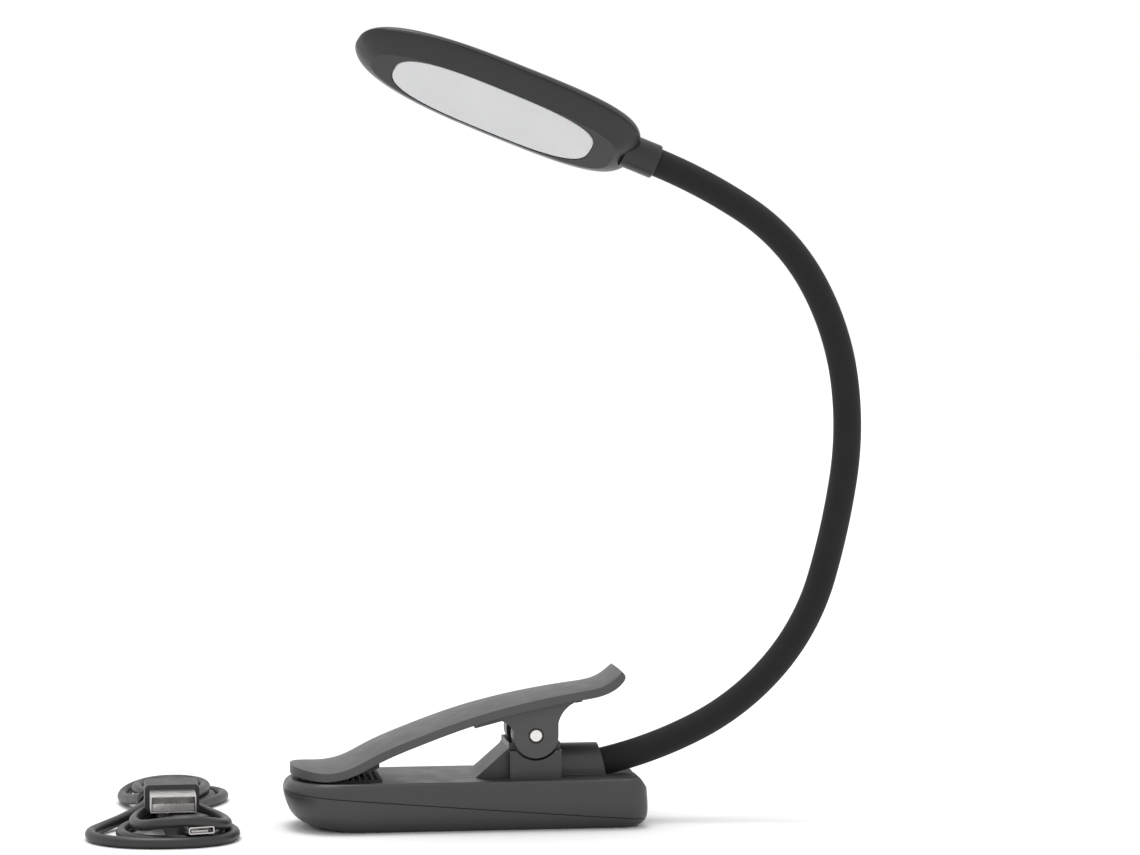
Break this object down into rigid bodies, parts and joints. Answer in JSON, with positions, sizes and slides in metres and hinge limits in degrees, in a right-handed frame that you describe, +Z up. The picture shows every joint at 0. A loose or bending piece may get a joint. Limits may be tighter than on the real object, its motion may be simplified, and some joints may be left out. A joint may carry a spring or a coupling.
{
  "type": "clip-on reading lamp",
  "caption": "Spring-jaw clip lamp: a long oval light head on a bendable sleeved neck over a two-shell clip base, with its tied charging lead.",
  "frame": {"origin": "centre of the flat underside of the clip's lower jaw", "axes": "+Z up, +X from the jaw's tip to the neck, Y across the jaw; the light face is rolled towards -Y"},
  "size_m": [0.2122, 0.0991, 0.2152],
  "materials": {
    "jaw_plastic": "satin, fine grain",
    "lever_plastic": "satin, fine grain",
    "head_plastic": "satin, fine grain",
    "neck_silicone": "matt",
    "grip_rubber": "matt",
    "pin_steel": "turned end",
    "steel": "plain",
    "plated_steel": "nickel plated",
    "battery_foil": "laminated foil",
    "wire": "smooth",
    "circuit_board": "solder mask",
    "clear_plastic": "clear",
    "milky_diffuser": "milky, satin",
    "white_plastic": "plain",
    "led_phosphor": "smooth",
    "lead_jacket": "satin",
    "tie_wire": "smooth",
    "plug_plastic": "fine grain"
  },
  "bodies": {
    "base": {"base_upper_shell": "jaw_plastic", "base_lower_shell": "jaw_plastic", "base_screws": "steel", "lower_grip_pad": "grip_rubber", "battery_cell": "battery_foil", "battery_leads": "wire", "charging_board": "circuit_board", "micro_usb_socket": "plated_steel", "charge_light_pipe": "clear_plastic", "pivot_pin": "pin_steel", "torsion_spring": "steel", "neck_anchor": "steel", "lead_hank": "lead_jacket", "lead_tie": "tie_wire", "usb_a_plug": "plug_plastic", "usb_a_shell": "plated_steel", "micro_usb_plug": "plug_plastic", "micro_usb_shell": "plated_steel"},
    "lever": {"clip_lever": "lever_plastic", "upper_grip_pad": "grip_rubber"},
    "neck_1": {"neck_core_1": "steel", "neck_sleeve_1": "neck_silicone", "neck_wires_1": "wire"},
    "neck_2": {"neck_core_2": "steel", "neck_sleeve_2": "neck_silicone", "neck_wires_2": "wire"},
    "neck_3": {"neck_core_3": "steel", "neck_sleeve_3": "neck_silicone", "neck_wires_3": "wire"},
    "neck_4": {"neck_core_4": "steel", "neck_sleeve_4": "neck_silicone", "neck_wires_4": "wire"},
    "neck_5": {"neck_core_5": "steel", "neck_sleeve_5": "neck_silicone", "neck_wires_5": "wire"},
    "neck_6": {"neck_core_6": "steel", "neck_sleeve_6": "neck_silicone", "neck_wires_6": "wire"},
    "neck_7": {"neck_core_7": "steel", "neck_sleeve_7": "neck_silicone", "neck_wires_7": "wire"},
    "neck_8": {"neck_core_8": "steel", "neck_sleeve_8": "neck_silicone", "neck_wires_8": "wire"},
    "head": {"head_collar": "head_plastic", "head_back_shell": "head_plastic", "head_bezel": "head_plastic", "diffuser": "milky_diffuser", "reflector_frame": "white_plastic", "led_board": "circuit_board", "led_chips": "led_phosphor", "head_screws": "steel", "touch_spring": "steel"}
  },
  "joints": [
    {"name": "clip_lever_pivot", "type": "hinge", "parent": "base", "child": "lever", "pos_m": [0.018, 0, 0.025], "axis": [0, 1, 0], "range_deg": [0, 28], "stiffness_Nm_per_rad": 0.6, "springref_deg": -51.57, "deforming": ["torsion_spring"]},
    {"name": "neck_side_1", "type": "hinge", "parent": "base", "child": "neck_1", "pos_m": [0.05056, 0, 0.01981], "axis": [-0.3256, 0, 0.9455], "range_deg": [-30, 30], "deforming": ["neck_sleeve_1", "neck_wires_1"]},
    {"name": "neck_bend_1", "type": "hinge", "parent": "neck_1", "child": "neck_2", "pos_m": [0.07515, 0, 0.03239], "axis": [0, -1, 0], "range_deg": [-40, 10], "deforming": ["neck_sleeve_2", "neck_wires_2"]},
    {"name": "neck_bend_2", "type": "hinge", "parent": "neck_2", "child": "neck_3", "pos_m": [0.09322, 0, 0.05317], "axis": [0, -1, 0], "range_deg": [-40, 10], "deforming": ["neck_sleeve_3", "neck_wires_3"]},
    {"name": "neck_side_2", "type": "hinge", "parent": "neck_3", "child": "neck_4", "pos_m": [0.10198, 0, 0.07939], "axis": [-0.9763, 0, 0.2164], "range_deg": [-30, 30], "deforming": ["neck_sleeve_4", "neck_wires_4"]},
    {"name": "neck_bend_3", "type": "hinge", "parent": "neck_4", "child": "neck_5", "pos_m": [0.10562, 0, 0.10683], "axis": [0, -1, 0], "range_deg": [-40, 10], "deforming": ["neck_sleeve_5", "neck_wires_5"]},
    {"name": "neck_bend_4", "type": "hinge", "parent": "neck_5", "child": "neck_6", "pos_m": [0.10151, 0, 0.13414], "axis": [0, -1, 0], "range_deg": [-40, 10], "deforming": ["neck_sleeve_6", "neck_wires_6"]},
    {"name": "neck_side_3", "type": "hinge", "parent": "neck_6", "child": "neck_7", "pos_m": [0.0877, 0, 0.15795], "axis": [-0.729, 0, -0.6845], "range_deg": [-30, 30], "deforming": ["neck_sleeve_7", "neck_wires_7"]},
    {"name": "neck_bend_5", "type": "hinge", "parent": "neck_7", "child": "neck_8", "pos_m": [0.06509, 0, 0.17378], "axis": [0, -1, 0], "range_deg": [-40, 10], "deforming": ["neck_sleeve_8", "neck_wires_8"]},
    {"name": "head_twist", "type": "hinge", "parent": "neck_8", "child": "head", "pos_m": [0.05248, 0, 0.17956], "axis": [-0.9278, 0, 0.373], "range_deg": [-60, 60]}
  ]
}
